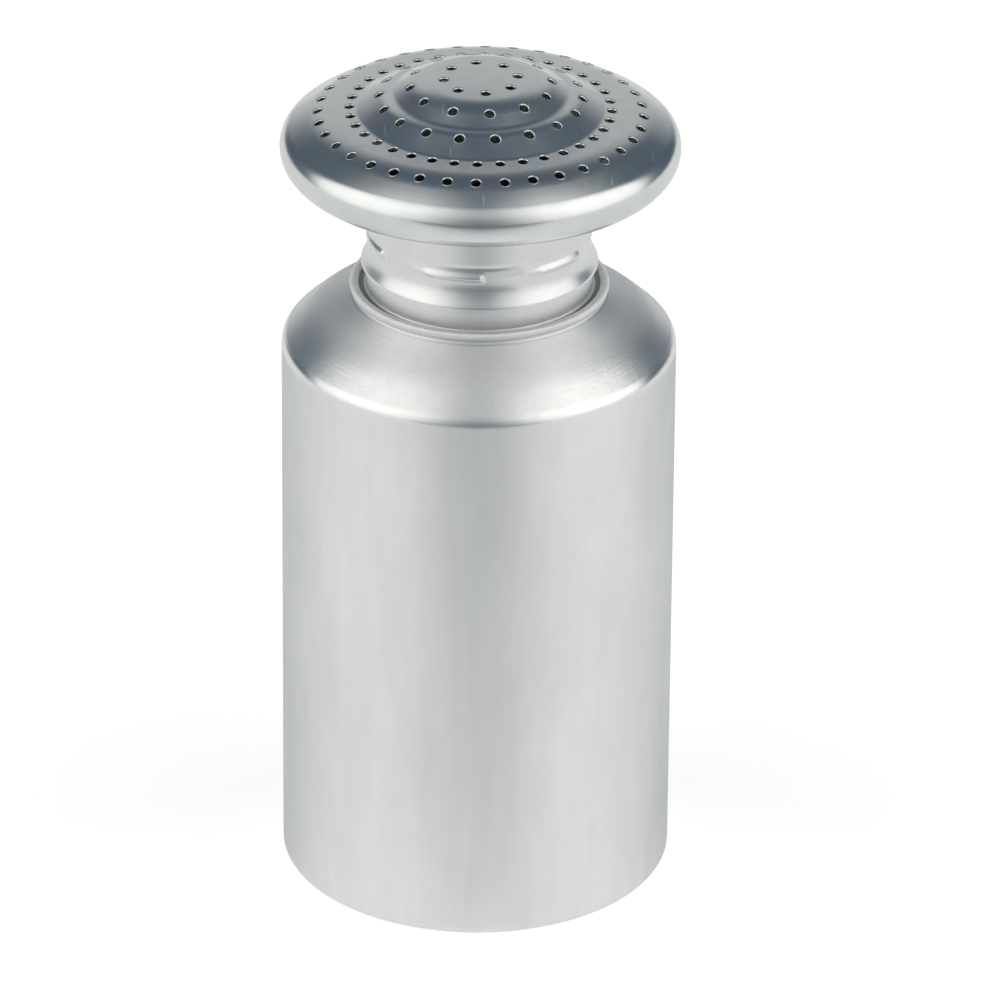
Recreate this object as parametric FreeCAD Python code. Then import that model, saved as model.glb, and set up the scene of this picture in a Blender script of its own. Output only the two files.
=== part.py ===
import FreeCAD, Part
import math
import os

os.makedirs("parts", exist_ok=True)

# A sheet aluminium shaker: a drawn can with a domed shoulder and a beaded mouth, a threaded neck
# held by that bead, and a hollow mushroom head with a perforated crown that screws onto it.
# Millimetres and degrees. The Z axis is the axis of the can, and the can stands on the plane z = 0.

# Can: base, straight wall, shoulder of a steep and a flatter cone, and the collar round its mouth
CAN_R = 42.0
CAN_WALL = 0.8
BASE_CORNER_R = 2.5
SHOULDER_Z = 123.4
SHOULDER_EDGE_R = 3.5
STEEP_CONE_IN = 6.0
STEEP_CONE_RISE = 5.5
FLAT_CONE_RISE = 5.4
SHOULDER_BEND_R = 25.0
COLLAR_FOOT_R = 1.2
COLLAR_H = 1.7
BEAD_R = 0.95

# Neck ring: a foot flange whose edge the bead is rolled round, a plain band, a cone and the
# threaded core
NECK_R = 21.7
NECK_WALL = 0.7
NECK_FOOT_R = 0.3
BAND_STEP = 2.4
BAND_H = 5.0
CONE_H = 5.0
NECK_BEND_R = 0.8
LIP_IN = 1.7
LIP_R = 1.0
BEAD_GAP = 1.55

# Screw thread: one rib round the neck and one inside the skirt, on helices of one lead
RIB_H = 0.8
RIB_W = 1.6
RIB_CREST_SHARE = 0.5
RIB_ROOT_SINK = 0.3
THREAD_TURNS = 1.25
FLANK_GAP = 0.4
THREAD_GAP = 0.3
THREAD_START = 0.3
THREAD_RUNOUT = 1.7

# Sealing washer between the lip of the neck and the head
WASHER_H = 1.5
WASHER_GAP = 0.3

# Skirt of the head: a tube with pressed ridges, a trumpet flare that turns down again at its edge,
# and an outward flange under the dish
SKIRT_WALL = 0.7
SKIRT_BAND_GAP = 0.35
SKIRT_EDGE_RAISE = 0.3
SKIRT_EDGE_H = 0.75
SKIRT_EDGE_BEND_R = 2.6
FLARE_H = 2.75
FLARE_BEND_R = 8.6
SKIRT_TOP_R = 2.0
SKIRT_FLANGE_W = 4.0
RIDGE_COUNT = 6
RIDGE_SPAN = 57.0
RIDGE_START = 2.0
RIDGE_RAISE = 6.5
RIDGE_W = 2.8
RIDGE_H = 0.65
RIDGE_START_H = 0.15

# Dish: the underside of the head, flat round its hole and then a cone up into the rim
DISH_WALL = 0.7
DISH_BEND_R = 3.0

# Crown: the stepped dome, the round rim and the lip that is folded in under the dish
HEAD_R = 42.3
CROWN_WALL = 0.7
RIM_ROLL_R = 6.0
RIM_TOP_R = 4.75
RIM_RISE = 9.6
CROWN_RISE = 15.9
CROWN_LIP = 3.6
CROWN_BEND_R = 12.0
HOLE_R = 0.95

# Corners of the dome, from the axis out: share of the radius to the middle of the rolled rim,
# share of the crown's rise above that middle, and share of the crown's bend radius
CROWN_CORNER_SHARES = [
    (0.360, 0.948, 1.0),
    (0.5124, 0.7503, 0.35),
    (0.5675, 0.7277, 0.5),
    (0.7273, 0.5459, 0.25),
    (0.920, 0.4604, 4.0),
]

# Rings of holes: share of the same radius, number of holes, and turn of the first hole from the front
HOLE_RING_SHARES = [
    (0.216, 8, 7.7),
    (0.414, 12, 7.2),
    (0.592, 18, 8.25),
    (0.760, 36, -1.3),
    (0.946, 36, -1.45),
]

# The side that faces the viewer is -Y, a quarter turn back from +X
FRONT_TURN = -90.0

# One overrun serves all cuts
OVERRUN = 2.0

AXIS = FreeCAD.Vector(0, 0, 1)
ORIGIN = FreeCAD.Vector(0, 0, 0)

# Radii that fit each other
band_r = NECK_R + BAND_STEP
bead_inner_r = band_r + BEAD_GAP
bead_centre_r = bead_inner_r + BEAD_R
collar_inner_r = bead_centre_r - CAN_WALL / 2
collar_outer_r = bead_centre_r + CAN_WALL / 2
skirt_inner_r = NECK_R + RIB_H + THREAD_GAP
skirt_outer_r = skirt_inner_r + SKIRT_WALL
skirt_edge_r = band_r + SKIRT_BAND_GAP + SKIRT_WALL
mouth_r = NECK_R - LIP_IN
washer_r = skirt_inner_r - WASHER_GAP
flange_r = skirt_outer_r + SKIRT_FLANGE_W
rim_centre_r = HEAD_R - RIM_ROLL_R
rim_top_centre_r = HEAD_R - RIM_TOP_R

# Heights, from the base up
bend_z = SHOULDER_Z + STEEP_CONE_RISE
collar_foot_z = bend_z + FLAT_CONE_RISE
bead_z = collar_foot_z + COLLAR_H
band_top_z = bead_z + BAND_H
cone_top_z = band_top_z + CONE_H
lead = 2 * (RIB_W + FLANK_GAP)
skirt_edge_z = band_top_z + SKIRT_EDGE_RAISE
edge_bend_z = skirt_edge_z + SKIRT_EDGE_H
flare_bend_z = edge_bend_z + FLARE_H
skirt_rib_z = cone_top_z + SKIRT_EDGE_RAISE + THREAD_START + RIB_W / 2
neck_rib_z = skirt_rib_z + lead / 2
neck_top_z = neck_rib_z + THREAD_TURNS * lead + RIB_W / 2 + THREAD_RUNOUT
dish_z = neck_top_z + WASHER_H
rim_z = dish_z + RIM_RISE


def heading(p, q):
    """Unit direction from one outline point to the next."""
    length = math.hypot(q[0] - p[0], q[1] - p[1])
    return ((q[0] - p[0]) / length, (q[1] - p[1]) / length)


def turn_between(a, b):
    """Signed angle by which a path turns from heading a to heading b, left positive."""
    return math.atan2(a[0] * b[1] - a[1] * b[0], a[0] * b[0] + a[1] * b[1])


def headings_of(points):
    """Heading of each stretch of an outline."""
    return [heading(p, q) for p, q in zip(points[:-1], points[1:])]


def fitted_radii(points, radii):
    """Corner radii, made smaller where two corners would meet on the stretch between them."""
    ways = headings_of(points)
    turns = [0.0] + [turn_between(a, b) for a, b in zip(ways[:-1], ways[1:])] + [0.0]
    fitted = list(radii)
    for i, (p, q) in enumerate(zip(points[:-1], points[1:])):
        length = math.hypot(q[0] - p[0], q[1] - p[1])
        first = fitted[i] * math.tan(abs(turns[i]) / 2)
        second = fitted[i + 1] * math.tan(abs(turns[i + 1]) / 2)
        if first + second > length:
            fitted[i] *= length / (first + second)
            fitted[i + 1] *= length / (first + second)
    return fitted


def offset_left(points, wall):
    """The outline moved to its left by the wall, with its corners where the moved stretches cross."""
    ways = headings_of(points)
    moved = [(points[0][0] - ways[0][1] * wall, points[0][1] + ways[0][0] * wall)]
    for point, a, b in zip(points[1:-1], ways[:-1], ways[1:]):
        turn = turn_between(a, b)
        along = wall * math.tan(turn / 2)
        moved.append((point[0] - a[1] * wall - a[0] * along, point[1] + a[0] * wall - a[1] * along))
    moved.append((points[-1][0] - ways[-1][1] * wall, points[-1][1] + ways[-1][0] * wall))
    ends = ((0, ways[0]), (len(moved) - 1, ways[-1]))
    for end, way in ends:
        if points[end][0] == 0:
            slide = moved[end][0] / way[0]
            moved[end] = (0, moved[end][1] - way[1] * slide)
    return moved


def rounded(points, radii):
    """Lines and arcs of an outline whose corners are rounded, from its first point to its last."""
    ways = headings_of(points)
    edges = []
    here = points[0]
    for point, radius, a, b in zip(points[1:-1], radii[1:-1], ways[:-1], ways[1:]):
        turn = turn_between(a, b)
        reach = radius * math.tan(abs(turn) / 2)
        start = (point[0] - a[0] * reach, point[1] - a[1] * reach)
        edges += line(here, start)
        here = start
        if reach > 0:
            side = math.copysign(radius, turn)
            centre = (start[0] - a[1] * side, start[1] + a[0] * side)
            spoke = (start[0] - centre[0], start[1] - centre[1])
            half = turn / 2
            middle = (
                centre[0] + spoke[0] * math.cos(half) - spoke[1] * math.sin(half),
                centre[1] + spoke[0] * math.sin(half) + spoke[1] * math.cos(half),
            )
            here = (point[0] + b[0] * reach, point[1] + b[1] * reach)
            edges.append(Part.Arc(vector(start), vector(middle), vector(here)).toShape())
    return edges + line(here, points[-1])


def vector(point):
    """An outline point, radius and height, in the plane y = 0."""
    return FreeCAD.Vector(point[0], 0, point[1])


def line(p, q):
    """A straight edge in a list, or no edge where both ends are one point."""
    if math.hypot(q[0] - p[0], q[1] - p[1]) < Part.Precision.confusion():
        return []
    return [Part.makeLine(vector(p), vector(q))]


def turned_sheet(corners, wall):
    """A sheet of even wall turned about the Z axis.

    The corners are (radius, height, corner radius) along one face of the sheet, and the wall
    lies to the left of that path.
    """
    points = [(r, z) for r, z, _ in corners]
    radii = fitted_radii(points, [radius for _, _, radius in corners])
    inner = offset_left(points, wall)
    ways = headings_of(points)
    turns = [0.0] + [turn_between(a, b) for a, b in zip(ways[:-1], ways[1:])] + [0.0]
    inner_radii = [
        max(radius - math.copysign(wall, turn), 0) if radius else 0
        for radius, turn in zip(radii, turns)
    ]
    outer_edges = rounded(points, radii)
    inner_edges = rounded(inner, inner_radii)
    caps = line(points[0], inner[0]) + line(points[-1], inner[-1])
    wire = Part.Wire(Part.__sortEdges__(outer_edges + inner_edges + caps))
    return Part.Face(wire).revolve(ORIGIN, AXIS, 360)


def helical_rib(wall_r, start_z, outward):
    """A trapezoid rib on a wall of the given radius, climbing anticlockwise from the +X side.

    Its flanks run on into the wall, so that its root is well inside the sheet.
    """
    crest_r = wall_r + outward * RIB_H
    root_r = wall_r - outward * RIB_ROOT_SINK
    crest = RIB_W * RIB_CREST_SHARE / 2
    root = RIB_W / 2 + (RIB_W / 2 - crest) * RIB_ROOT_SINK / RIB_H
    corners = [(root_r, -root), (crest_r, -crest), (crest_r, crest), (root_r, root)]
    profile = Part.makePolygon([vector(corner) for corner in corners + corners[:1]])
    helix = Part.makeHelix(lead, THREAD_TURNS * lead, wall_r)
    rib = Part.Wire(helix.Edges).makePipeShell([profile], True, True)
    rib.translate(FreeCAD.Vector(0, 0, start_z))
    return rib


def solid_of(shape):
    """The one solid of a shape, with its split faces joined."""
    joined = shape.removeSplitter()
    return joined.Solids[0]


def can_body():
    """The can, from the middle of its base, up the wall and over the shoulder to the beaded mouth.

    The bead is rolled round the edge of the neck's foot flange, which leaves a slot in it.
    """
    sheet = turned_sheet(
        [
            (0, 0, 0),
            (CAN_R, 0, BASE_CORNER_R),
            (CAN_R, SHOULDER_Z, SHOULDER_EDGE_R),
            (CAN_R - STEEP_CONE_IN, bend_z, SHOULDER_BEND_R),
            (collar_outer_r, collar_foot_z, COLLAR_FOOT_R),
            (collar_outer_r, bead_z, 0),
        ],
        CAN_WALL,
    )
    bead = Part.makeTorus(bead_centre_r, BEAD_R, FreeCAD.Vector(0, 0, bead_z), AXIS)
    flange_slot = Part.makeCylinder(collar_inner_r, NECK_WALL, FreeCAD.Vector(0, 0, bead_z - NECK_WALL))
    return solid_of(sheet.fuse(bead).cut(flange_slot))


def neck_ring():
    """The neck: foot flange in the bead, plain band, cone, threaded core and inturned lip."""
    sheet = turned_sheet(
        [
            (collar_inner_r, bead_z, 0),
            (band_r, bead_z, NECK_FOOT_R),
            (band_r, band_top_z, NECK_BEND_R),
            (NECK_R, cone_top_z, NECK_BEND_R),
            (NECK_R, neck_top_z, LIP_R),
            (mouth_r, neck_top_z, 0),
        ],
        NECK_WALL,
    )
    return solid_of(sheet.fuse(helical_rib(NECK_R, neck_rib_z, 1)))


def sealing_washer():
    """The flat washer that the lip of the neck presses against the dish."""
    ring = Part.makeCylinder(washer_r, WASHER_H, FreeCAD.Vector(0, 0, neck_top_z))
    bore = Part.makeCylinder(mouth_r, WASHER_H, FreeCAD.Vector(0, 0, neck_top_z))
    return solid_of(ring.cut(bore))


def ridge(index):
    """One pressed ridge of the skirt, which starts low, grows to its full height and stops short.

    It is turned about an axis beside the skirt's own, so that its crest leaves the wall gradually.
    """
    shift = (RIDGE_H - RIDGE_START_H) / (1 - math.cos(math.radians(RIDGE_SPAN)))
    sunk_r = skirt_outer_r - RIDGE_H - shift
    middle_z = skirt_edge_z + RIDGE_RAISE
    low = (sunk_r, middle_z - RIDGE_W / 2)
    crest = (skirt_outer_r + RIDGE_H - shift, middle_z)
    high = (sunk_r, middle_z + RIDGE_W / 2)
    face = Part.Face(Part.Wire([Part.Arc(vector(low), vector(crest), vector(high)).toShape()] + line(high, low)))
    bead = face.revolve(ORIGIN, AXIS, RIDGE_SPAN)
    bead.rotate(ORIGIN, AXIS, -RIDGE_SPAN)
    bead.translate(FreeCAD.Vector(shift, 0, 0))
    bead.rotate(ORIGIN, AXIS, FRONT_TURN + RIDGE_START + RIDGE_SPAN + index * 360 / RIDGE_COUNT)
    return bead.cut(Part.makeCylinder(skirt_inner_r + SKIRT_WALL / 2, middle_z + RIDGE_W))


def cap_skirt():
    """The skirt: flared edge, straight wall with ridges outside and a rib inside, and top flange."""
    sheet = turned_sheet(
        [
            (skirt_edge_r, skirt_edge_z, 0),
            (skirt_edge_r, edge_bend_z, SKIRT_EDGE_BEND_R),
            (skirt_outer_r, flare_bend_z, FLARE_BEND_R),
            (skirt_outer_r, dish_z - SKIRT_WALL, SKIRT_TOP_R),
            (flange_r, dish_z - SKIRT_WALL, 0),
        ],
        SKIRT_WALL,
    )
    ridges = [ridge(index) for index in range(RIDGE_COUNT)]
    return solid_of(sheet.fuse(ridges + [helical_rib(skirt_inner_r, skirt_rib_z, -1)]))


def tangent_slope(point, centre_r, radius, side):
    """Slope of the line from a point that touches a circle of the rolled rim, given by its middle."""
    to_centre = (centre_r - point[0], rim_z - point[1])
    distance = math.hypot(to_centre[0], to_centre[1])
    return math.atan2(to_centre[1], to_centre[0]) + side * math.asin(radius / distance)


def head_dish():
    """The dish, from its hole out under the skirt's flange and up into the rolled rim."""
    inner_roll_r = RIM_ROLL_R - CROWN_WALL
    bend = (flange_r, dish_z)
    slope = tangent_slope(bend, rim_centre_r, inner_roll_r, -1)
    end = (rim_centre_r + inner_roll_r * math.sin(slope), rim_z - inner_roll_r * math.cos(slope))
    sheet = turned_sheet([(mouth_r, dish_z, 0), bend + (DISH_BEND_R,), end + (0,)], DISH_WALL)
    return solid_of(sheet)


def crown_path():
    """The crown's outer face, from the folded lip round the rim and over the steps to the axis."""
    slope = tangent_slope((flange_r, dish_z), rim_centre_r, RIM_ROLL_R - CROWN_WALL, -1)
    touch = (rim_centre_r + RIM_ROLL_R * math.sin(slope), rim_z - RIM_ROLL_R * math.cos(slope))
    lip = (touch[0] - CROWN_LIP * math.cos(slope), touch[1] - CROWN_LIP * math.sin(slope))
    dome = [
        (share_r * rim_centre_r, rim_z + share_z * CROWN_RISE, bend * CROWN_BEND_R)
        for share_r, share_z, bend in CROWN_CORNER_SHARES
    ]
    ledge = tangent_slope(dome[-1], rim_top_centre_r, RIM_TOP_R, 1)
    low_z = rim_z - RIM_ROLL_R * math.tan((math.pi / 2 - slope) / 2)
    high_z = rim_z + RIM_TOP_R * math.tan((math.pi / 2 + ledge) / 2)
    rim = [lip + (0,), (HEAD_R, low_z, RIM_ROLL_R), (HEAD_R, high_z, RIM_TOP_R)]
    return rim + dome[::-1] + [(0, rim_z + CROWN_RISE, 0)]


def crown_holes():
    """The punches of all rings of holes, straight down through the dome."""
    punches = []
    for share, count, first in HOLE_RING_SHARES:
        for index in range(count):
            angle = math.radians(first + index * 360 / count)
            radius = share * rim_centre_r
            foot = FreeCAD.Vector(radius * math.sin(angle), -radius * math.cos(angle), rim_z)
            punches.append(Part.makeCylinder(HOLE_R, CROWN_RISE + OVERRUN, foot))
    return punches


def sieve_crown():
    """The perforated crown."""
    sheet = turned_sheet(crown_path(), CROWN_WALL)
    return solid_of(sheet.cut(crown_holes()))


PIECES = {
    "can_body": can_body,
    "neck_ring": neck_ring,
    "sealing_washer": sealing_washer,
    "cap_skirt": cap_skirt,
    "head_dish": head_dish,
    "sieve_crown": sieve_crown,
}

for name, build in PIECES.items():
    shape = build()
    box = shape.BoundBox
    print(name, shape.ShapeType, shape.isValid(), round(shape.Volume), "mm3", round(box.ZMin, 2), round(box.ZMax, 2))
    shape.exportStep("parts/" + name + ".step")
print("lead", lead, "neck top", neck_top_z, "dish", dish_z, "rim", rim_z)
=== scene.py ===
import logging
import math
from dataclasses import dataclass, field
from enum import Enum

import bpy
from mathutils import Matrix, Vector


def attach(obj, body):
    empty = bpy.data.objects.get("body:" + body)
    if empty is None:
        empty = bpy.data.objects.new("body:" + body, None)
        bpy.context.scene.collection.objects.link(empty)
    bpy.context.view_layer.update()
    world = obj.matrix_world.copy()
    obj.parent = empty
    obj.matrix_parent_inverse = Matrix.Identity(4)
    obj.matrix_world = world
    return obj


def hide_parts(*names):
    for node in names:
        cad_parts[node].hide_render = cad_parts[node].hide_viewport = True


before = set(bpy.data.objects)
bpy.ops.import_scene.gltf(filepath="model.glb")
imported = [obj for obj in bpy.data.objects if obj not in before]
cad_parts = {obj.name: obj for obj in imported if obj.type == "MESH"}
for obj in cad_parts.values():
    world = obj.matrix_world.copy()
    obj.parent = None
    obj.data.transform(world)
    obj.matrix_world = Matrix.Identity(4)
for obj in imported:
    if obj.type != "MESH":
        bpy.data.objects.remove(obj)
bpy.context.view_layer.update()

LOG = logging.getLogger("shaker")

MM = 0.001
MERGE = 0.002 * MM  # points nearer than this are one
CHORD = 0.8 * MM  # longest straight step along a rounded corner
ARC_STEP = math.radians(6)  # largest turn between two points of an arc
TURNED_EDGE = 35.0  # edges sharper than this, in degrees, stay sharp on a turned section
SHEET_EDGE = 40.0  # the same on a bent sheet
PUNCHED_EDGE = 100.0  # the same on the rounded edges of the holes

Corner = tuple[float, float, float]
Point = tuple[float, float]
Colour = tuple[float, float, float]
Stretch = tuple[float, float, float]
Levels = dict[float, float]
Profile = tuple[tuple[float, float], ...]
Piece = bpy.types.Object
Socket = bpy.types.NodeSocket


class Grain(Enum):
    """How the marks of the tool run over a finish."""

    UPRIGHT = "upright"
    ROUND = "round"
    EVEN = "even"


# Outlines and mesh tools


def deselect() -> None:
    """Leave edit mode and deselect every object."""
    if bpy.context.mode != "OBJECT":
        bpy.ops.object.mode_set(mode="OBJECT")
    bpy.ops.object.select_all(action="DESELECT")


def only(piece: Piece) -> None:
    """Make a piece the one selected and active object."""
    deselect()
    piece.select_set(True)
    bpy.context.view_layer.objects.active = piece


def heading(p: Point, q: Point) -> Point:
    """Unit direction from one outline point to the next."""
    length = math.hypot(q[0] - p[0], q[1] - p[1])
    return ((q[0] - p[0]) / length, (q[1] - p[1]) / length)


def turn_of(a: Point, b: Point) -> float:
    """Signed angle from heading a to heading b, left positive."""
    return math.atan2(a[0] * b[1] - a[1] * b[0], a[0] * b[0] + a[1] * b[1])


def rounded(corners: list[Corner], step: float) -> list[Point]:
    """Points along an outline whose corners are rounded.

    Args:
        corners: radius, height and corner radius of each corner.
        step: largest turn between two points of an arc, in radians.

    Returns:
        The points from the first corner to the last.
    """
    places = [(r, z) for r, z, _ in corners]
    ways = [heading(p, q) for p, q in zip(places[:-1], places[1:])]
    points = [places[0]]
    for (r, z, radius), a, b in zip(corners[1:-1], ways[:-1], ways[1:]):
        turn = turn_of(a, b)
        reach = radius * math.tan(abs(turn) / 2)
        if reach < MERGE:
            points.append((r, z))
            continue
        start = (r - a[0] * reach, z - a[1] * reach)
        side = math.copysign(radius, turn)
        centre = (start[0] - a[1] * side, start[1] + a[0] * side)
        spoke = (start[0] - centre[0], start[1] - centre[1])
        count = max(2, math.ceil(abs(turn) / step), math.ceil(radius * abs(turn) / CHORD))
        for index in range(count + 1):
            angle = turn * index / count
            points.append((
                centre[0] + spoke[0] * math.cos(angle) - spoke[1] * math.sin(angle),
                centre[1] + spoke[0] * math.sin(angle) + spoke[1] * math.cos(angle),
            ))
    points.append(places[-1])
    return [p for p, q in zip(points, [None] + points) if q is None or math.dist(p, q) > MERGE]


def offset_left(corners: list[Corner], wall: float) -> list[Corner]:
    """The outline of the other face of a sheet, to the left of the given one.

    Args:
        corners: radius, height and corner radius of each corner.
        wall: thickness of the sheet.

    Returns:
        The corners of the other face, with their own corner radii.
    """
    places = [(r, z) for r, z, _ in corners]
    ways = [heading(p, q) for p, q in zip(places[:-1], places[1:])]
    ways = ways[:1] + ways + ways[-1:]
    moved = []
    for (r, z, radius), a, b in zip(corners, ways[:-1], ways[1:]):
        turn = turn_of(a, b)
        along = wall * math.tan(turn / 2)
        spot = [r - a[1] * wall - a[0] * along, z + a[0] * wall - a[1] * along]
        if r == 0:
            spot = [0.0, spot[1] - a[1] * spot[0] / a[0]]
        inner = max(radius - math.copysign(wall, turn), 0.0) if radius else 0.0
        moved.append((spot[0], spot[1], inner))
    return moved


def soft_step(share: float) -> float:
    """A rise from 0 to 1 that starts and ends level."""
    share = min(max(share, 0.0), 1.0)
    return share * share * (3 - 2 * share)


def trace(name: str, points: list[Point], closed: bool = False) -> Piece:
    """Draw an outline in the plane y = 0 by extruding one vertex from point to point.

    Args:
        name: name of the new object.
        points: radius and height of each point.
        closed: whether the last point is joined to the first.

    Returns:
        The object, with edges and no faces, at the origin.
    """
    deselect()
    first = points[0]
    bpy.ops.mesh.primitive_plane_add(size=MM, location=(first[0], 0, first[1]))
    piece = bpy.context.object
    piece.name = name
    piece.data.name = name
    bpy.ops.object.mode_set(mode="EDIT")
    bpy.ops.mesh.select_all(action="SELECT")
    bpy.ops.mesh.merge(type="CENTER")
    for p, q in zip(points[:-1], points[1:]):
        step = (q[0] - p[0], 0, q[1] - p[1])
        bpy.ops.mesh.extrude_region_move(TRANSFORM_OT_translate={"value": step})
    if closed:
        step = (first[0] - points[-1][0], 0, first[1] - points[-1][1])
        bpy.ops.mesh.extrude_region_move(TRANSFORM_OT_translate={"value": step})
        bpy.ops.mesh.select_all(action="SELECT")
        bpy.ops.mesh.remove_doubles(threshold=MERGE)
    bpy.ops.object.mode_set(mode="OBJECT")
    bpy.ops.object.transform_apply(location=True, rotation=True, scale=True)
    return piece


def turn_about_z(piece: Piece, steps: int) -> None:
    """Spin an outline once round the Z axis and close it.

    Args:
        piece: an object that holds the outline.
        steps: number of copies of the outline round the axis.
    """
    only(piece)
    bpy.ops.object.mode_set(mode="EDIT")
    bpy.ops.mesh.select_all(action="SELECT")
    bpy.ops.mesh.spin(steps=steps, angle=2 * math.pi, center=(0, 0, 0), axis=(0, 0, 1))
    bpy.ops.mesh.select_all(action="SELECT")
    bpy.ops.mesh.remove_doubles(threshold=MERGE)
    bpy.ops.mesh.normals_make_consistent(inside=False)
    bpy.ops.object.mode_set(mode="OBJECT")


def turned_section(name: str, outer: list[Corner], inner: list[Corner], steps: int) -> Piece:
    """A closed ring turned from the outlines of its two faces.

    Args:
        name: name of the piece.
        outer: corners of the outer face.
        inner: corners of the inner face, in the same order.
        steps: number of copies of the section round the axis.

    Returns:
        The finished mesh object.
    """
    piece = trace(name, rounded(outer, ARC_STEP) + rounded(inner, ARC_STEP)[::-1], closed=True)
    turn_about_z(piece, steps)
    return piece


def face_outwards(piece: Piece, height: float, inside_z: float) -> None:
    """Turn all faces of a sheet outwards, judged by the face that is nearest to a height.

    Args:
        piece: a sheet whose faces already agree with each other.
        height: height of the face that is looked at.
        inside_z: height of a point on the axis that lies behind that face.
    """
    face = min(piece.data.polygons, key=lambda face: abs(face.center.z - height))
    if face.normal.dot(face.center - Vector((0, 0, inside_z))) < 0:
        only(piece)
        bpy.ops.object.mode_set(mode="EDIT")
        bpy.ops.mesh.select_all(action="SELECT")
        bpy.ops.mesh.flip_normals()
        bpy.ops.object.mode_set(mode="OBJECT")


def smooth(piece: Piece, angle: float) -> None:
    """Shade a piece smooth except at edges sharper than an angle in degrees."""
    only(piece)
    bpy.ops.object.shade_smooth_by_angle(angle=math.radians(angle))


def apply_modifier(piece: Piece, kind: str, **values: object) -> None:
    """Add a modifier to a piece, set its values and apply it.

    Args:
        piece: the object to change.
        kind: the type of the modifier.
        values: the modifier's settings by name.
    """
    only(piece)
    modifier = piece.modifiers.new(kind.lower(), kind)
    for key, value in values.items():
        setattr(modifier, key, value)
    bpy.ops.object.modifier_apply(modifier=modifier.name)


def join(pieces: list[Piece]) -> Piece:
    """Join objects into the first of them.

    Args:
        pieces: the objects, the first of which is kept.

    Returns:
        The joined object.
    """
    deselect()
    for piece in pieces:
        piece.select_set(True)
    bpy.context.view_layer.objects.active = pieces[0]
    bpy.ops.object.join()
    return pieces[0]


# Finishes


OPAQUE = (1.0,)
NOISE_LOW = 0.3  # a noise mostly keeps between these two
NOISE_HIGH = 0.7
EASE = 0.2 * MM  # half the height over which one finish passes into the next


@dataclass(frozen=True)
class Pattern:
    """A noise pattern: its scale, its layers of detail, and how it is drawn out along each axis."""

    scale: float
    detail: float
    drawn: Stretch = (1.0, 1.0, 1.0)


PATCHES = Pattern(60.0, 5.0, (1.0, 1.0, 0.5))
STREAKS = Pattern(260.0, 3.0, (1.0, 1.0, 0.12))
WAVES = Pattern(28.0, 2.0)
SCUFFS = Pattern(900.0, 3.0)
SPECKLE = Pattern(900.0, 3.0)
UPRIGHT_MARKS = Pattern(1500.0, 3.0, (1.0, 1.0, 0.035))
EVEN_MARKS = Pattern(3200.0, 2.0)
FINE_TURNING = Pattern(5200.0, 2.0, (0.02, 0.02, 1.0))
BOLD_TURNING = Pattern(1300.0, 2.0, (0.05, 0.05, 1.0))
BEAD_BUMPS = Pattern(1000.0, 1.0)
SCRATCH_LINES = Pattern(2600.0, 1.0)
SCRATCH_PLACES = Pattern(150.0, 2.0)


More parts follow.
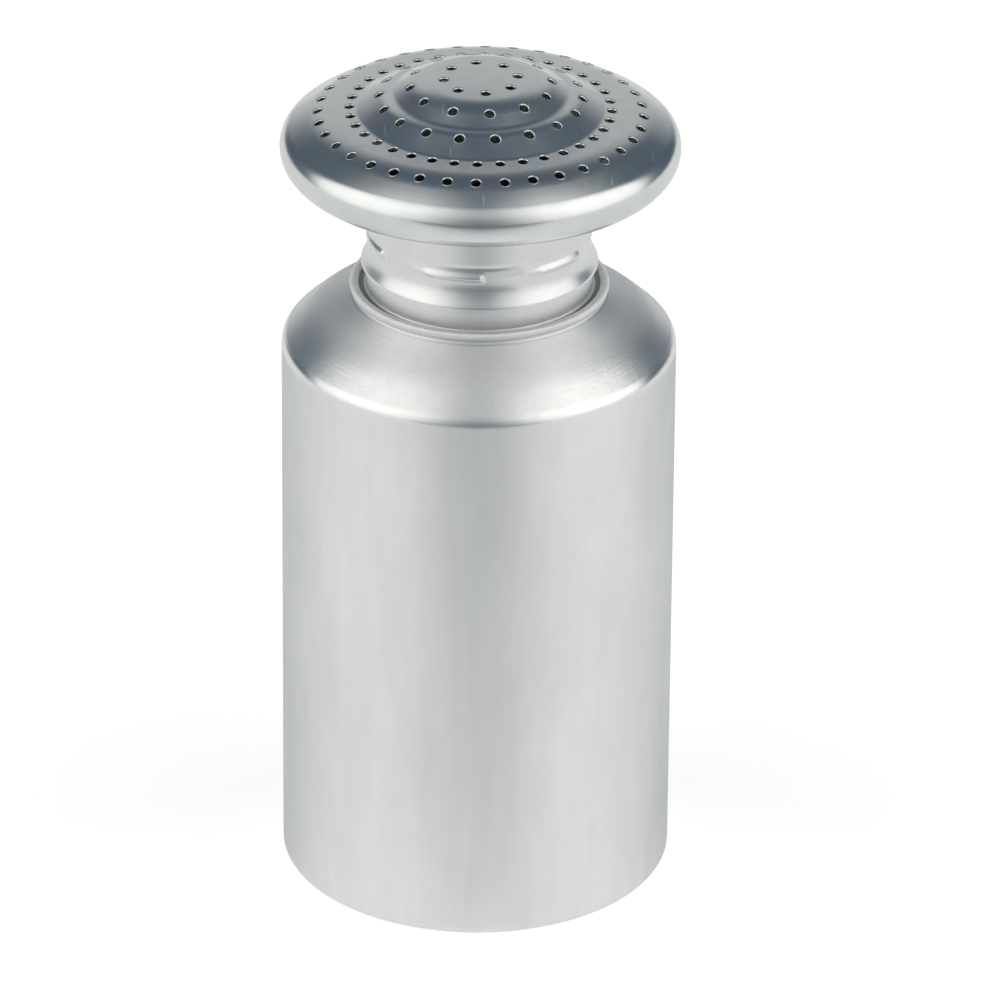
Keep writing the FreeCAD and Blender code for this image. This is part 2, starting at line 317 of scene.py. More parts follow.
class Nodes:
    """A node tree, with short calls for the nodes that the finishes and the surroundings use."""

    def __init__(self, tree: bpy.types.NodeTree) -> None:
        """Work on a tree."""
        self.tree = tree

    def add(
        self, kind: str, inputs: dict[object, object] | None = None, **settings: object
    ) -> bpy.types.Node:
        """Add a node.

        Args:
            kind: the node's type.
            inputs: values or sockets for its inputs, by name or number.
            settings: properties of the node.

        Returns:
            The new node.
        """
        node = self.tree.nodes.new(kind)
        for key, value in settings.items():
            setattr(node, key, value)
        for key, value in (inputs or {}).items():
            self.feed(node.inputs[key], value)
        return node

    def feed(self, socket: Socket, value: object) -> None:
        """Link a socket to an input, or set the input's value."""
        if isinstance(value, Socket):
            self.tree.links.new(value, socket)
        else:
            socket.default_value = value

    def math(self, operation: str, *values: object) -> Socket:
        """A Math node's result."""
        return self.add("ShaderNodeMath", dict(enumerate(values)), operation=operation).outputs[0]

    def noise(self, vector: Socket, pattern: Pattern) -> Socket:
        """A noise pattern's value, from 0 to 1 with a mean near one half."""
        inputs = {"Vector": vector, "Scale": pattern.drawn}
        drawn = self.add("ShaderNodeMapping", inputs).outputs["Vector"]
        inputs = {"Vector": drawn, "Scale": pattern.scale, "Detail": pattern.detail, "Roughness": 0.6}
        return self.add("ShaderNodeTexNoise", inputs).outputs["Fac"]

    def range(
        self, value: Socket, low: float, high: float, to_low: float = 0.0, to_high: float = 1.0
    ) -> Socket:
        """A value carried from one range to another and clamped."""
        inputs = {"Value": value, "From Min": low, "From Max": high, "To Min": to_low, "To Max": to_high}
        return self.add("ShaderNodeMapRange", inputs).outputs["Result"]

    def ramp(self, value: Socket, top: float, stops: dict[float, object]) -> Socket:
        """A colour or level that follows a value from 0 to a top.

        Args:
            value: the value that is followed.
            top: the value at the end of the ramp.
            stops: colours or levels by value, in rising order.

        Returns:
            The colour.
        """
        node = self.add("ShaderNodeValToRGB", {"Fac": self.math("DIVIDE", value, top)})
        elements = node.color_ramp.elements
        elements.remove(elements[1])
        for index, (place, level) in enumerate(stops.items()):
            colour = level if isinstance(level, tuple) else (level,) * 3
            element = elements[0] if index == 0 else elements.new(place / top)
            element.position = place / top
            element.color = colour + (1.0,)
        return node.outputs["Color"]

    def blend(self, share: object, a: object, b: object) -> Socket:
        """Two colours mixed by a share."""
        node = self.add("ShaderNodeMix", data_type="RGBA")
        self.feed(node.inputs["Factor"], share)
        self.feed(node.inputs["A"], a)
        self.feed(node.inputs["B"], b)
        return node.outputs["Result"]

    def bump(self, height: Socket, distance: float, under: Socket | None = None) -> Socket:
        """A normal pushed by a height.

        Args:
            height: the height, from 0 to 1.
            distance: what a height of 1 stands for, in metres.
            under: the normal that it is laid over.

        Returns:
            The new normal.
        """
        inputs = {"Height": height, "Distance": distance, "Strength": 1.0}
        if under is not None:
            inputs["Normal"] = under
        return self.add("ShaderNodeBump", inputs).outputs["Normal"]


class Sheet(Nodes):
    """A material's node tree."""

    def __init__(self, name: str) -> None:
        """Start a material."""
        self.material = bpy.data.materials.new(name)
        self.material.use_nodes = True
        super().__init__(self.material.node_tree)
        self.shader = self.tree.nodes["Principled BSDF"]


@dataclass(frozen=True)
class Surface:
    """Coordinates on a finished piece, and the patterns that its tone and roughness share.

    Attributes:
        place: the object's own coordinates.
        z: height.
        radius: distance from the axis.
        round_place: coordinates for marks that run round the axis, also up a slope.
        patches: large soft patches.
        streaks: upright streaks.
    """

    place: Socket
    z: Socket
    radius: Socket
    round_place: Socket
    patches: Socket
    streaks: Socket

    @classmethod
    def of(cls, sheet: Sheet) -> "Surface":
        """Lay the coordinates and shared patterns in a material."""
        place = sheet.add("ShaderNodeTexCoord").outputs["Object"]
        x, y, z = sheet.add("ShaderNodeSeparateXYZ", {"Vector": place}).outputs
        squares = sheet.math("ADD", sheet.math("MULTIPLY", x, x), sheet.math("MULTIPLY", y, y))
        radius = sheet.math("SQRT", squares)
        along = sheet.math("SUBTRACT", z, radius)
        round_place = sheet.add("ShaderNodeCombineXYZ", {"X": x, "Y": y, "Z": along}).outputs[0]
        return cls(place, z, radius, round_place, sheet.noise(place, PATCHES), sheet.noise(place, STREAKS))


@dataclass(frozen=True)
class Aluminium:
    """Bare aluminium sheet, more or less polished.

    Attributes:
        name: name of the material.
        tone: its main colour.
        dull_tone: the colour of its duller patches.
        roughness: mean roughness, or heights and the mean roughness at each, in rising order.
        patch: how far the roughness strays from patch to patch.
        grain: how the tool marks run.
        grain_depth: depth of the tool marks in metres.
        waviness: depth of the large waves of the sheet in metres.
        scuff: depth of the small scuffs in metres.
        scratch: strength of fine scratches.
        spread: how far marks that run round the axis spread a highlight across them.
        turned_above: height above which the metal is turned in a lathe, or None.
        turned_force: how much deeper the marks and scuffs are on the turned part.
        beaded_above: height above which the edge is a bumpy bead, or None.
        bead_depth: depth of the bead's bumps in metres.
        creases: heights of the lines of painted shade in the creases under the bead.
        crease_core: how far from its middle a crease's painted shade is at its darkest, in metres.
        crease_reach: how far from its middle a crease ends.
        crease_shade_share: share of the painted shade's colour at a crease's middle.
        crease_shade_tone: colour of the painted shade in the creases.
        gap_shade_beyond: radius beyond which shade is painted into the colour, or None.
        gap_shade_edge: width over which the painted shade sets in.
        gap_shade_tone: colour of the painted shade.
    """

    name: str
    tone: Colour
    dull_tone: Colour
    roughness: float | Profile
    patch: float
    grain: Grain
    grain_depth: float
    waviness: float
    scuff: float = 0.0
    scratch: float = 0.0
    spread: float = 0.0
    turned_above: float | None = None
    turned_force: float = 1.0
    beaded_above: float | None = None
    bead_depth: float = 0.0
    # painted shade: dark lines blended into the colour at creases, where shade falls
    creases: tuple[float, ...] = ()
    crease_core: float = 0.05 * MM
    crease_reach: float = 0.28 * MM
    crease_shade_share: float = 0.5
    crease_shade_tone: Colour = (0.35, 0.355, 0.36)
    # painted shade: darkens the colour beyond a radius, for the gap at the neck's foot
    gap_shade_beyond: float | None = None
    gap_shade_edge: float = 0.4 * MM
    gap_shade_tone: Colour = (0.26, 0.265, 0.27)

    def above(self, sheet: Sheet, surface: Surface, height: float) -> Socket:
        """A mask that is 0 below a height and 1 above it."""
        return sheet.range(surface.z, height - EASE, height + EASE)

    def split(self, sheet: Sheet, surface: Surface, below: object, above: object) -> Socket:
        """One value below the turned part and another on it."""
        mask = self.above(sheet, surface, self.turned_above)
        return sheet.add("ShaderNodeMix", {"Factor": mask, "A": below, "B": above}).outputs["Result"]

    def turning(self, sheet: Sheet, surface: Surface) -> Socket:
        """Height of the marks of a lathe, fine ones among bolder ones, from 0 to 1."""
        fine = sheet.math("MULTIPLY", sheet.noise(surface.round_place, FINE_TURNING), 0.45)
        bold = sheet.math("MULTIPLY", sheet.noise(surface.round_place, BOLD_TURNING), 0.55)
        return sheet.math("ADD", fine, bold)

    def marks(self, sheet: Sheet, surface: Surface) -> Socket:
        """Height of the tool marks, from 0 to 1, and more on a turned part."""
        if self.grain is Grain.ROUND:
            marks = self.turning(sheet, surface)
        else:
            pattern = UPRIGHT_MARKS if self.grain is Grain.UPRIGHT else EVEN_MARKS
            marks = sheet.noise(surface.place, pattern)
        if self.turned_above is not None:
            marks = self.split(sheet, surface, marks, self.turning(sheet, surface))
            marks = sheet.math("MULTIPLY", marks, self.split(sheet, surface, 1.0, self.turned_force))
        return marks

    def scratches(self, sheet: Sheet, surface: Surface) -> Socket:
        """Short thin lines, 1 on a scratch and 0 off it."""
        total = None
        for turn, seed in ((0.35, 0.11), (1.5, 0.37), (2.6, 0.71)):
            inputs = {
                "Vector": surface.place, "Location": (seed, seed, seed),
                "Rotation": (0.3, 0.2, turn), "Scale": (1.0, 0.02, 0.06),
            }
            drawn = sheet.add("ShaderNodeMapping", inputs).outputs["Vector"]
            lines = sheet.range(sheet.noise(drawn, SCRATCH_LINES), 0.74, 0.80)
            total = lines if total is None else sheet.math("MAXIMUM", total, lines)
        where = sheet.range(sheet.noise(surface.place, SCRATCH_PLACES), 0.50, 0.62)
        return sheet.math("MULTIPLY", total, where)

    def colour(self, sheet: Sheet, surface: Surface) -> Socket:
        """The metal's colour, with its duller patches, painted shade in the creases and painted shade beyond
        a radius.
        """
        worn = sheet.math("ADD", surface.patches, sheet.math("MULTIPLY", surface.streaks, 0.6))
        tone = sheet.blend(sheet.range(worn, 0.6, 1.0), self.tone + OPAQUE, self.dull_tone + OPAQUE)
        # painted shade: darken the colour along each crease
        for crease in self.creases:
            off = sheet.math("ABSOLUTE", sheet.math("SUBTRACT", surface.z, crease))
            share = sheet.range(off, self.crease_core, self.crease_reach, self.crease_shade_share, 0.0)
            tone = sheet.blend(share, tone, self.crease_shade_tone + OPAQUE)
        # painted shade: darken the colour beyond a radius
        if self.gap_shade_beyond is not None:
            gap_shaded = sheet.range(surface.radius, self.gap_shade_beyond, self.gap_shade_beyond + self.gap_shade_edge)
            tone = sheet.blend(gap_shaded, tone, self.gap_shade_tone + OPAQUE)
        return tone

    def rough(self, sheet: Sheet, surface: Surface, lines: Socket | None) -> Socket:
        """The roughness: its level, its patches and streaks, and the scratches."""
        level = self.roughness
        if not isinstance(level, float):
            level = sheet.ramp(surface.z, level[-1][0], dict(level))
        for pattern, stray in ((surface.patches, self.patch), (surface.streaks, self.patch / 2)):
            level = sheet.math("ADD", level, sheet.range(pattern, NOISE_LOW, NOISE_HIGH, -stray, stray))
        if lines is not None:
            level = sheet.math("ADD", level, sheet.math("MULTIPLY", lines, 0.3 * self.scratch))
        return level

    def relief(self, sheet: Sheet, surface: Surface, lines: Socket | None) -> Socket:
        """The normal: waves of the sheet, scuffs, tool marks with the scratches, and the bead's bumps."""
        normal = sheet.bump(sheet.noise(surface.place, WAVES), self.waviness)
        if self.scuff:
            scuffs = sheet.noise(surface.place, SCUFFS)
            if self.turned_above is not None:
                force = self.split(sheet, surface, 1.0, self.turned_force / 2)
                scuffs = sheet.math("MULTIPLY", scuffs, force)
            normal = sheet.bump(scuffs, self.scuff, normal)
        marks = self.marks(sheet, surface)
        if lines is not None:
            marks = sheet.math("ADD", marks, sheet.math("MULTIPLY", lines, self.scratch))
        normal = sheet.bump(marks, self.grain_depth, normal)
        if self.beaded_above is not None:
            mask = self.above(sheet, surface, self.beaded_above)
            bumps = sheet.math("MULTIPLY", sheet.noise(surface.place, BEAD_BUMPS), mask)
            normal = sheet.bump(bumps, self.bead_depth, normal)
        return normal

    def spread_highlights(self, sheet: Sheet, surface: Surface) -> None:
        """Spread highlights across the marks that run round the axis, and along the bead."""
        across = 0.25
        if self.beaded_above is not None:
            across = sheet.range(self.above(sheet, surface, self.beaded_above), 0.0, 1.0, across, 0.0)
        sheet.shader.inputs["Anisotropic"].default_value = self.spread
        sheet.feed(sheet.shader.inputs["Anisotropic Rotation"], across)
        tangent = sheet.add("ShaderNodeTangent", direction_type="RADIAL", axis="Z")
        sheet.feed(sheet.shader.inputs["Tangent"], tangent.outputs[0])

    def material(self) -> bpy.types.Material:
        """Build the node material."""
        sheet = Sheet(self.name)
        surface = Surface.of(sheet)
        lines = self.scratches(sheet, surface) if self.scratch else None
        sheet.shader.inputs["Metallic"].default_value = 1.0
        sheet.feed(sheet.shader.inputs["Base Color"], self.colour(sheet, surface))
        sheet.feed(sheet.shader.inputs["Roughness"], self.rough(sheet, surface, lines))
        sheet.feed(sheet.shader.inputs["Normal"], self.relief(sheet, surface, lines))
        if self.spread:
            self.spread_highlights(sheet, surface)
        return sheet.material


@dataclass(frozen=True)
class Rubber:
    """Dark rubber of the hidden washer.

    Attributes:
        name: name of the material.
        tone: its darker colour.
        light_tone: colour of its lighter specks.
        roughness: roughness of the darker and of the lighter specks.
        speckle_depth: depth of the specks in metres.
    """

    name: str
    tone: Colour
    light_tone: Colour
    roughness: tuple[float, float] = (0.65, 0.85)
    speckle_depth: float = 0.05 * MM

    def material(self) -> bpy.types.Material:
        """Build the node material."""
        sheet = Sheet(self.name)
        place = sheet.add("ShaderNodeTexCoord").outputs["Object"]
        speckle = sheet.noise(place, SPECKLE)
        inputs = sheet.shader.inputs
        sheet.feed(inputs["Base Color"], sheet.blend(speckle, self.tone + OPAQUE, self.light_tone + OPAQUE))
        sheet.feed(inputs["Roughness"], sheet.range(speckle, NOISE_LOW, NOISE_HIGH, *self.roughness))
        sheet.feed(inputs["Normal"], sheet.bump(speckle, self.speckle_depth))
        return sheet.material


CAN_FINISH = Aluminium(
    name="can_aluminium",
    tone=(0.91, 0.91, 0.91),
    dull_tone=(0.86, 0.86, 0.862),
    roughness=(
        (0.0, 0.55), (121.8 * MM, 0.55), (122.2 * MM, 0.22), (123.9 * MM, 0.24),
        (124.6 * MM, 0.36), (127.5 * MM, 0.38), (129.5 * MM, 0.48), (131.5 * MM, 0.58),
        (134.6 * MM, 0.50), (135.4 * MM, 0.58), (137.0 * MM, 0.58),
    ),
    patch=0.03,
    grain=Grain.UPRIGHT,
    grain_depth=0.003 * MM,
    waviness=0.06 * MM,
    scuff=0.004 * MM,
    spread=0.6,
    turned_above=124.3 * MM,
    turned_force=20.0,
    beaded_above=135.4 * MM,
    bead_depth=0.14 * MM,
    # painted shade at the collar's foot and under the bead
    creases=(134.25 * MM, 135.0 * MM),
)
NECK_FINISH = Aluminium(
    name="neck_aluminium",
    tone=(0.92, 0.92, 0.92),
    dull_tone=(0.87, 0.87, 0.875),
    roughness=0.48,
    patch=0.04,
    grain=Grain.ROUND,
    grain_depth=0.004 * MM,
    waviness=0.03 * MM,
    spread=0.3,
    # painted shade on the neck's foot, in the gap inside the can's bead
    gap_shade_beyond=24.3 * MM,
)
SKIRT_FINISH = Aluminium(
    name="skirt_aluminium",
    tone=(0.85, 0.85, 0.853),
    dull_tone=(0.80, 0.80, 0.805),
    roughness=0.27,
    patch=0.03,
    grain=Grain.EVEN,
    grain_depth=0.001 * MM,
    waviness=0.03 * MM,
)
HEAD_FINISH = Aluminium(
    name="head_aluminium",
    tone=(0.81, 0.82, 0.82),
    dull_tone=(0.76, 0.77, 0.775),
    roughness=0.22,
    patch=0.03,
    grain=Grain.EVEN,
    grain_depth=0.002 * MM,
    waviness=0.06 * MM,
    scuff=0.003 * MM,
    scratch=0.7,
)
WASHER_FINISH = Rubber("washer_rubber", (0.035, 0.035, 0.036), (0.056, 0.056, 0.0576))


# Sub-assemblies


def place_piece(piece: Piece, body: str, finish: bpy.types.Material, slot: str, *nodes: str) -> None:
    """Dress a new piece, tie it to its body and let it stand for CAD nodes.

    Args:
        piece: the new piece.
        body: the body that it rides on.
        finish: its material.
        slot: the record's material slot; not used.
        nodes: the CAD nodes that it replaces.
    """
    piece.data.materials.clear()
    piece.data.materials.append(finish)
    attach(piece, body)
    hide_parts(*nodes)
    LOG.info("%s: %d faces on body %s", piece.name, len(piece.data.polygons), body)


def dress_node(node: str, finish: bpy.types.Material) -> None:
    """Give its finish to a CAD node that keeps its own shape."""
    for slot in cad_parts[node].material_slots:
        slot.material = finish
    LOG.info("%s: CAD node dressed", node)


@dataclass
class Can:
    """The drawn can, with its domed shoulder and beaded collar."""

    radius: float = 42.0 * MM
    wall: float = 0.8 * MM
    base_corner: float = 2.5 * MM
    shoulder_z: float = 123.4 * MM
    shoulder_edge: float = 3.5 * MM
    steep_in: float = 6.0 * MM
    steep_rise: float = 5.5 * MM
    flat_rise: float = 5.4 * MM
    bend: float = 25.0 * MM
    collar_foot: float = 1.2 * MM
    collar_radius: float = 27.0 * MM
    collar_h: float = 1.7 * MM
    bead: float = 0.95 * MM
    bead_points: int = 20
    arc_step: float = math.radians(9)
    steps: int = 288

    def build(self) -> Piece:
        """Turn the can from its section, with the bead rolled over its mouth."""
        foot_z = self.shoulder_z + self.steep_rise + self.flat_rise
        bead_z = foot_z + self.collar_h
        middle = self.collar_radius - self.wall / 2
        hidden = math.asin(self.wall / 2 / self.bead)
        outer = [
            (0.0, 0.0, 0.0),
            (self.radius, 0.0, self.base_corner),
            (self.radius, self.shoulder_z, self.shoulder_edge),
            (self.radius - self.steep_in, self.shoulder_z + self.steep_rise, self.bend),
            (self.collar_radius, foot_z, self.collar_foot),
            (self.collar_radius, bead_z - self.bead * math.cos(hidden), 0.0),
        ]
        inner = offset_left(outer, self.wall)
        sweep = 2 * (math.pi - hidden)
        roll = []
        for index in range(1, self.bead_points):
            angle = -math.pi / 2 + hidden + sweep * index / self.bead_points
            roll.append((middle + self.bead * math.cos(angle), bead_z + self.bead * math.sin(angle)))
        points = rounded(outer, self.arc_step) + roll + rounded(inner, self.arc_step)[::-1]
        piece = trace("can", points)
        turn_about_z(piece, self.steps)
        smooth(piece, TURNED_EDGE)
        return piece

    def make(self) -> None:
        """Build the can and dress it."""
        place_piece(self.build(), "can", CAN_FINISH.material(), CAN_FINISH.name, "can_body")


@dataclass
class Head:
    """The perforated crown of the mushroom head and the dish under it."""

    radius: float = 42.28 * MM
    wall: float = 0.7 * MM
    roll: float = 6.0 * MM
    rim_z: float = 168.0 * MM
    top_roll: float = 4.75 * MM
    rise: float = 15.9 * MM
    lip: float = 3.6 * MM
    crown_bend: float = 12.0 * MM
    dish_bend: float = 3.0 * MM
    dish_z: float = 158.4 * MM
    dish_flat: float = 27.5 * MM
    dish_bore: float = 20.0 * MM
    hole: float = 0.95 * MM
    hole_edge: float = 0.33 * MM
    edge_stand: float = 0.03 * MM
    hole_sides: int = 20
    edge_sides: int = 12
    edge_facets: int = 4
    steps: int = 288

    def corner_shares(self) -> list[Corner]:
        """Corners of the dome, as shares of the rim's middle radius, the crown's rise and its bend."""
        return [
            (0.360, 0.948, 1.0), (0.5124, 0.7503, 0.35), (0.5675, 0.7277, 0.5),
            (0.7273, 0.5314, 0.25), (0.9371, 0.4805, 1.17),
        ]

    def ring_shares(self) -> list[tuple[float, int, float]]:
        """Rings of holes: share of the rim's middle radius, number, and turn of the first."""
        return [(0.216, 8, 7.7), (0.414, 12, 7.2), (0.592, 18, 8.25), (0.760, 36, -1.3), (0.946, 36, -1.45)]

    def slope(self, point: Point, centre: float, radius: float, side: int) -> float:
        """Slope of the line from a point that touches a circle of the rolled rim, given by its middle."""
        reach = (centre - point[0], self.rim_z - point[1])
        return math.atan2(reach[1], reach[0]) + side * math.asin(radius / math.hypot(*reach))

    def crown_path(self) -> list[Corner]:
        """The crown's outer face, from the folded lip to the axis."""
        middle = self.radius - self.roll
        slope = self.slope((self.dish_flat, self.dish_z), middle, self.roll - self.wall, -1)
        touch = (middle + self.roll * math.sin(slope), self.rim_z - self.roll * math.cos(slope))
        dome = [
            (a * middle, self.rim_z + b * self.rise, c * self.crown_bend) for a, b, c in self.corner_shares()
        ]
        ledge = self.slope(dome[-1], self.radius - self.top_roll, self.top_roll, 1)
        low = self.rim_z - self.roll * math.tan((math.pi / 2 - slope) / 2)
        high = self.rim_z + self.top_roll * math.tan((math.pi / 2 + ledge) / 2)
        path = [(touch[0] - self.lip * math.cos(slope), touch[1] - self.lip * math.sin(slope), 0.0)]
        path += [(self.radius, low, self.roll), (self.radius, high, self.top_roll)]
        return path + dome[::-1] + [(0.0, self.rim_z + self.rise, 0.0)]

    def hole_places(self, points: list[Point]) -> list[Matrix]:
        """Frame of each hole on the crown's outer face, with its Z axis square to the face.

        Args:
            points: the points of the outer face, from the rim in.

        Returns:
            The frames of all rings of holes.
        """
        places = []
        for share, count, first in self.ring_shares():
            radius = share * (self.radius - self.roll)
            p, q = next(
                (p, q) for p, q in zip(points[:-1], points[1:])
                if q[0] <= radius <= p[0] and p[1] > self.rim_z
            )
            share_along = (p[0] - radius) / (p[0] - q[0])
            height = p[1] + (q[1] - p[1]) * share_along
            fall = math.atan2(q[1] - p[1], p[0] - q[0])
            on_face = Matrix.Translation((radius, 0, height)) @ Matrix.Rotation(fall, 4, "Y")
            for index in range(count):
                turn = math.radians(first + index * 360 / count - 90)
                places.append(Matrix.Rotation(turn, 4, "Z") @ on_face)
        return places

    def punches(self, places: list[Matrix]) -> Piece:
        """Cylinders that cut the holes, joined in one object."""
        tools = []
        for place in places:
            deselect()
            bpy.ops.mesh.primitive_cylinder_add(
                location=place.to_translation(), rotation=place.to_euler(),
                vertices=self.hole_sides, radius=self.hole + 0.75 * self.hole_edge, depth=6 * self.wall,
            )
            tools.append(bpy.context.object)
        punch = join(tools)
        bpy.ops.object.transform_apply(location=True, rotation=True, scale=True)
        return punch

    def edges(self, places: list[Matrix]) -> Piece:
        """The rounded edges that the punch draws into the holes, joined in one object."""
        rings = []
        for place in places:
            deselect()
            sunk = place @ Matrix.Translation((0, 0, self.edge_stand - self.hole_edge))
            bpy.ops.mesh.primitive_torus_add(
                location=sunk.to_translation(), rotation=sunk.to_euler(),
                major_segments=self.edge_sides, minor_segments=self.edge_facets,
                major_radius=self.hole + self.hole_edge, minor_radius=self.hole_edge,
            )
            rings.append(bpy.context.object)
        ring = join(rings)
        bpy.ops.object.transform_apply(location=True, rotation=True, scale=True)
        return ring

    def build_crown(self) -> Piece:
        """Turn the crown, punch its holes and round their edges."""
        points = rounded(self.crown_path(), ARC_STEP)
        shell = trace("crown", points)
        turn_about_z(shell, self.steps)
        face_outwards(shell, self.rim_z + self.rise, self.rim_z)
        apply_modifier(shell, "SOLIDIFY", thickness=self.wall, offset=-1.0, use_even_offset=True)
        smooth(shell, SHEET_EDGE)
        places = self.hole_places(points)
        punch = self.punches(places)
        apply_modifier(shell, "BOOLEAN", operation="DIFFERENCE", solver="EXACT", object=punch)
        bpy.data.objects.remove(punch)
        smooth(shell, SHEET_EDGE)
        rings = self.edges(places)
        smooth(rings, PUNCHED_EDGE)
        return join([shell, rings])

    def build_dish(self) -> Piece:
        """Turn the dish."""
        inner_roll = self.roll - self.wall
        middle = self.radius - self.roll
        slope = self.slope((self.dish_flat, self.dish_z), middle, inner_roll, -1)
        end = (middle + inner_roll * math.sin(slope), self.rim_z - inner_roll * math.cos(slope), 0.0)
        face = [(self.dish_bore, self.dish_z, 0.0), (self.dish_flat, self.dish_z, self.dish_bend), end]
        piece = turned_section("dish", face, offset_left(face, self.wall), self.steps)
        smooth(piece, TURNED_EDGE)
        return piece

    def make(self) -> None:
        """Build the crown and the dish and dress them in the same metal."""
        metal = HEAD_FINISH.material()
        place_piece(self.build_crown(), "cap", metal, HEAD_FINISH.name, "sieve_crown")
        place_piece(self.build_dish(), "cap", metal, HEAD_FINISH.name, "head_dish")


@dataclass
class Skirt:
    """The threaded skirt, with its flared edge, pressed ridges and top flange."""

    radius: float = 23.5 * MM
    wall: float = 0.7 * MM
    edge_radius: float = 25.15 * MM
    edge_z: float = 141.3 * MM
    edge_bend_z: float = 141.65 * MM
    edge_bend: float = 1.1 * MM
    flare_z: float = 144.8 * MM
    flare_bend: float = 8.6 * MM
    top_z: float = 158.4 * MM
    top_bend: float = 2.0 * MM
    flange: float = 27.5 * MM
    groove_z: float = 150.2 * MM
    groove_half: float = 0.75 * MM
    groove_depth: float = 0.13 * MM
    ridge_count: int = 6
    ridge_start: float = 10.0
    ridge_low_run: float = 18.5
    ridge_climb: float = 6.0
    ridge_run: float = 50.0
    ridge_fall: float = 3.3
    ridge_z: float = 147.9 * MM
    ridge_above: float = 1.5 * MM
    ridge_below: float = 1.2 * MM
    ridge_start_share: float = 0.4
    ridge_height: float = 0.65 * MM
    ridge_low: float = 0.42
    row: float = 0.28 * MM
    steps: int = 480

    def ridge(self, angle: float, height: float) -> float:
        """How far the wall is pressed out.

        Args:
            angle: place round the axis in degrees, from the front towards +X.
            height: place along the axis.

        Returns:
            The push in metres.
        """
        along = (angle - self.ridge_start) % (360 / self.ridge_count)
        low = self.ridge_low * soft_step(along / self.ridge_low_run)
        climb = (1 - self.ridge_low) * soft_step((along - self.ridge_low_run) / self.ridge_climb)
        left = 1 - soft_step((along - self.ridge_run) / self.ridge_fall)
        above = (self.ridge_z + self.ridge_above - height) / self.ridge_above
        widening = (1 - self.ridge_start_share) * min(along / self.ridge_run, 1.0)
        below_run = self.ridge_below * (self.ridge_start_share + widening)
        below = (height - self.ridge_z + below_run) / below_run
        pressed = self.ridge_height * (low + climb) * left * soft_step(min(above, below))
        sunk = self.groove_depth * soft_step(1 - abs(height - self.groove_z) / self.groove_half)
        return pressed - sunk

    def build(self) -> Piece:
        """Turn the skirt, press its ridges out and give it its wall."""
        corners = [
            (self.edge_radius, self.edge_z, 0.0),
            (self.edge_radius, self.edge_bend_z, self.edge_bend),
            (self.radius, self.flare_z, self.flare_bend),
            (self.radius, self.top_z - self.wall, self.top_bend),
            (self.flange, self.top_z - self.wall, 0.0),
        ]
        coarse = rounded(corners, ARC_STEP)
        points = [coarse[0]]
        for p, q in zip(coarse[:-1], coarse[1:]):
            count = max(1, math.ceil(math.dist(p, q) / self.row))
            for index in range(1, count + 1):
                points.append((p[0] + (q[0] - p[0]) * index / count, p[1] + (q[1] - p[1]) * index / count))
        piece = trace("skirt", points)
        turn_about_z(piece, self.steps)
        for vertex in piece.data.vertices:
            push = self.ridge(math.degrees(math.atan2(vertex.co.x, -vertex.co.y)), vertex.co.z)
            if push:
                radius = math.hypot(vertex.co.x, vertex.co.y)
                vertex.co.x *= (radius + push) / radius
                vertex.co.y *= (radius + push) / radius
        wall_z = (self.flare_z + self.top_z) / 2
        face_outwards(piece, wall_z, wall_z)
        apply_modifier(piece, "SOLIDIFY", thickness=self.wall, offset=-1.0, use_even_offset=True)
        smooth(piece, SHEET_EDGE)
        return piece

    def make(self) -> None:
        """Build the skirt and dress it."""
        place_piece(self.build(), "cap", SKIRT_FINISH.material(), SKIRT_FINISH.name, "cap_skirt")


# Studio


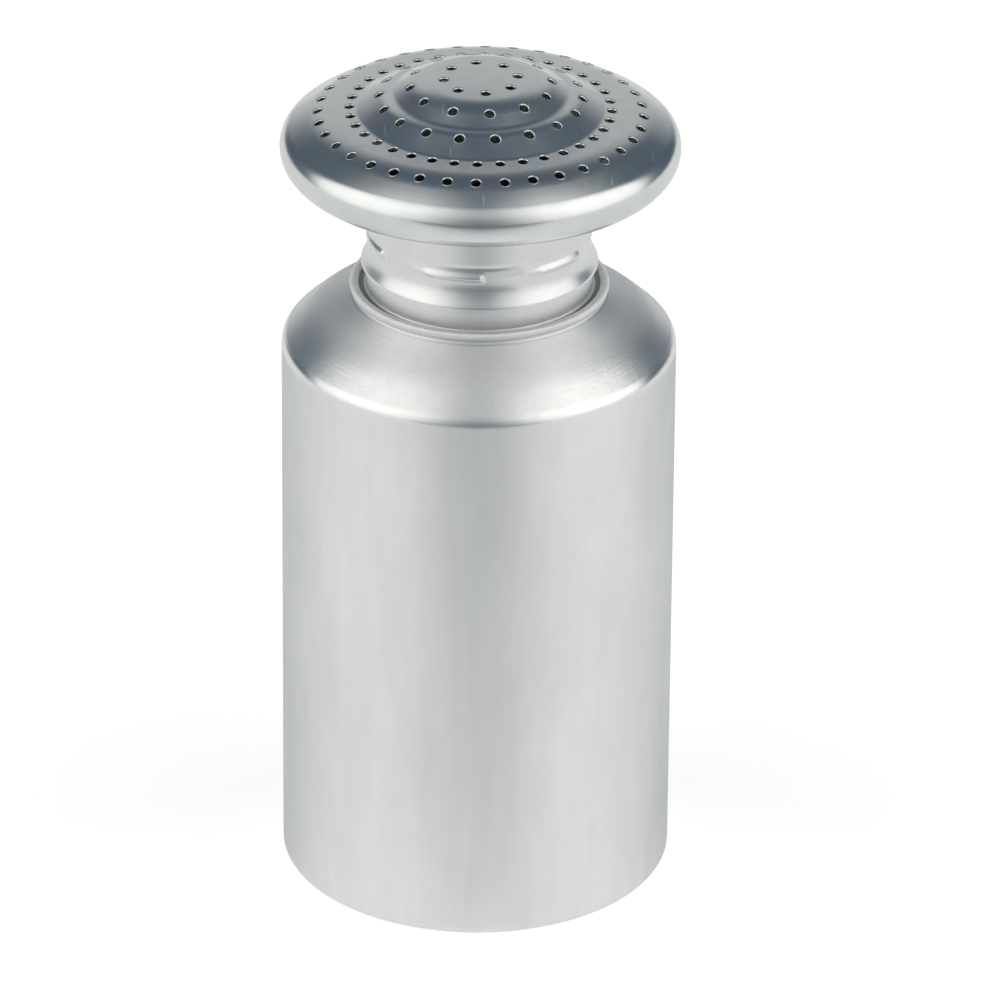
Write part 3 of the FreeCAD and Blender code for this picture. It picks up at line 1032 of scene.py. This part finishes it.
@dataclass
class Studio:
    """Camera, floor and surroundings.

    The panels are levels of light by azimuth, in degrees from the camera's side, and by elevation.
    """

    distance: float = 1.6748
    height: float = 0.9431
    pitch: float = 27.157
    yaw: float = 0.163
    roll: float = 0.496
    lens: float = 315.5
    sensor: float = 36.0
    dusk: Colour = (0.076, 0.105, 0.136)
    panel_tint: Colour = (1.0, 0.98, 0.915)
    panel_lean: float = 0.35
    lean_below: float = 30.0
    lean_beyond: float = 60.0
    panel_across: Levels = field(default_factory=lambda: {
        0: 0.0, 10: 0.08, 20: 0.28, 30: 0.54, 40: 0.77, 55: 0.98, 85: 1.0, 108: 0.92, 118: 0.0,
    })
    panel_upwards: Levels = field(default_factory=lambda: {
        0: 0.80, 10: 0.97, 22: 0.98, 40: 0.90, 50: 0.86, 60: 0.74, 70: 0.60, 80: 0.20, 90: 0.0,
    })
    right_level: float = 1.03
    right_ease: float = 0.2
    front_across: Levels = field(default_factory=lambda: {0: 1.0, 105: 1.0, 120: 0.0})
    front_upwards: Levels = field(default_factory=lambda: {
        0: 0.09, 10: 0.11, 20: 0.15, 30: 0.22, 40: 0.30, 50: 0.34, 70: 0.32, 80: 0.24, 90: 0.07,
    })
    back_across: Levels = field(default_factory=lambda: {148: 0.0, 162: 1.0, 180: 1.0})
    back_upwards: Levels = field(default_factory=lambda: {0: 0.44, 32: 0.42, 38: 0.22, 45: 0.06, 55: 0.0})
    floor_size: float = 14.0
    floor_slant: float = 1.1
    floor_tone: Colour = (0.80, 0.80, 0.80)
    floor_far: Colour = (0.26, 0.28, 0.30)
    floor_fade: float = -0.08
    floor_end: float = -0.60
    floor_seen: float = 0.56
    floor_gloss: float = 0.24

    def add_camera(self) -> None:
        """Put the camera at the photograph's viewpoint."""
        data = bpy.data.cameras.new("camera")
        data.lens = self.lens
        data.sensor_width = self.sensor
        camera = bpy.data.objects.new("camera", data)
        bpy.context.scene.collection.objects.link(camera)
        turn = Matrix.Rotation(math.radians(-self.yaw), 4, "Z")
        tilt = Matrix.Rotation(math.radians(90 - self.pitch), 4, "X")
        lean = Matrix.Rotation(math.radians(self.roll), 4, "Z")
        camera.matrix_world = Matrix.Translation((0, -self.distance, self.height)) @ turn @ tilt @ lean
        bpy.context.scene.camera = camera

    def add_floor(self) -> None:
        """Add a pale floor that is white to the camera, keeps the shadow and fades far in front."""
        deselect()
        bpy.ops.mesh.primitive_plane_add(size=self.floor_size, location=(0, 0, 0))
        floor = bpy.context.object
        floor.name = "floor"
        sheet = Sheet("pale_floor")
        rays = sheet.add("ShaderNodeLightPath").outputs
        place = sheet.add("ShaderNodeTexCoord").outputs["Object"]
        x, y, _ = sheet.add("ShaderNodeSeparateXYZ", {"Vector": place}).outputs
        off = sheet.math("ADD", sheet.math("MULTIPLY", sheet.math("ABSOLUTE", x), self.floor_slant), y)
        far = sheet.range(off, self.floor_fade, self.floor_end)
        far = sheet.math("MULTIPLY", far, rays["Is Glossy Ray"])
        tone = sheet.blend(far, self.floor_tone + OPAQUE, self.floor_far + OPAQUE)
        seen = sheet.math("MAXIMUM", rays["Is Camera Ray"], rays["Is Transmission Ray"])
        strength = sheet.math(
            "ADD",
            sheet.math("MULTIPLY", seen, self.floor_seen),
            sheet.math("MULTIPLY", sheet.math("SUBTRACT", rays["Is Glossy Ray"], far), self.floor_gloss),
        )
        glow = sheet.add("ShaderNodeEmission", {"Color": (1.0, 1.0, 1.0, 1.0), "Strength": strength})
        matt = sheet.add("ShaderNodeBsdfDiffuse", {"Color": tone})
        both = sheet.add("ShaderNodeAddShader", {0: glow.outputs[0], 1: matt.outputs[0]})
        sheet.tree.nodes.remove(sheet.shader)
        sheet.feed(sheet.tree.nodes["Material Output"].inputs["Surface"], both.outputs[0])
        floor.data.materials.append(sheet.material)

    def glow(self, sky: Nodes, azimuth: Socket, elevation: Socket, across: Levels, upwards: Levels) -> Socket:
        """A panel's level of light, from its levels by azimuth and by elevation."""
        return sky.math("MULTIPLY", sky.ramp(azimuth, 180.0, across), sky.ramp(elevation, 90.0, upwards))

    def add_world(self) -> None:
        """Surroundings: a tall soft panel on each side, a low one behind, dusk between and overhead."""
        world = bpy.data.worlds.new("studio")
        bpy.context.scene.world = world
        world.use_nodes = True
        sky = Nodes(world.node_tree)
        way = sky.add("ShaderNodeTexCoord").outputs["Generated"]
        x, y, z = sky.add("ShaderNodeSeparateXYZ", {"Vector": way}).outputs
        turn = sky.math("ARCTAN2", x, sky.math("MULTIPLY", y, -1.0))
        azimuth = sky.math("DEGREES", sky.math("ABSOLUTE", turn))
        elevation = sky.math("DEGREES", sky.math("ARCSINE", z))

        low = sky.math("MAXIMUM", sky.math("SUBTRACT", self.lean_below, elevation), 0.0)
        beyond = sky.math("GREATER_THAN", azimuth, self.lean_beyond)
        lean = sky.math("MULTIPLY", sky.math("MULTIPLY", low, self.panel_lean), beyond)
        leant = sky.math("ADD", azimuth, lean)
        sides = self.glow(sky, leant, elevation, self.panel_across, self.panel_upwards)
        right = sky.range(turn, -self.right_ease, self.right_ease, 1.0, self.right_level)
        panel = sky.math("MULTIPLY", sides, right)
        front = self.glow(sky, azimuth, elevation, self.front_across, self.front_upwards)
        back = self.glow(sky, azimuth, elevation, self.back_across, self.back_upwards)
        level = sky.math("ADD", sky.math("ADD", panel, front), back)
        lit = sky.add("ShaderNodeCombineColor", {
            index: sky.math("MULTIPLY", level, part) for index, part in enumerate(self.panel_tint)
        }).outputs[0]
        glow = sky.add("ShaderNodeMix", {"Factor": 1.0}, data_type="RGBA", blend_type="ADD")
        sky.feed(glow.inputs["A"], lit)
        sky.feed(glow.inputs["B"], self.dusk + OPAQUE)
        seen = sky.add("ShaderNodeLightPath").outputs["Is Camera Ray"]
        white = sky.blend(seen, glow.outputs["Result"], (1.0, 1.0, 1.0, 1.0))
        sky.feed(world.node_tree.nodes["Background"].inputs["Color"], white)

    def make(self) -> None:
        """Set up the camera, the floor and the surroundings."""
        self.add_camera()
        self.add_floor()
        self.add_world()


def main() -> None:
    """Build the shaker and the studio, and report each piece."""
    logging.basicConfig(level=logging.INFO, format="%(name)s %(message)s")
    bpy.context.scene.view_settings.view_transform = "Standard"
    for part in (Can(), Head(), Skirt()):
        part.make()
    dress_node("neck_ring", NECK_FINISH.material())
    dress_node("sealing_washer", WASHER_FINISH.material())
    Studio().make()


if __name__ == "__main__":
    main()
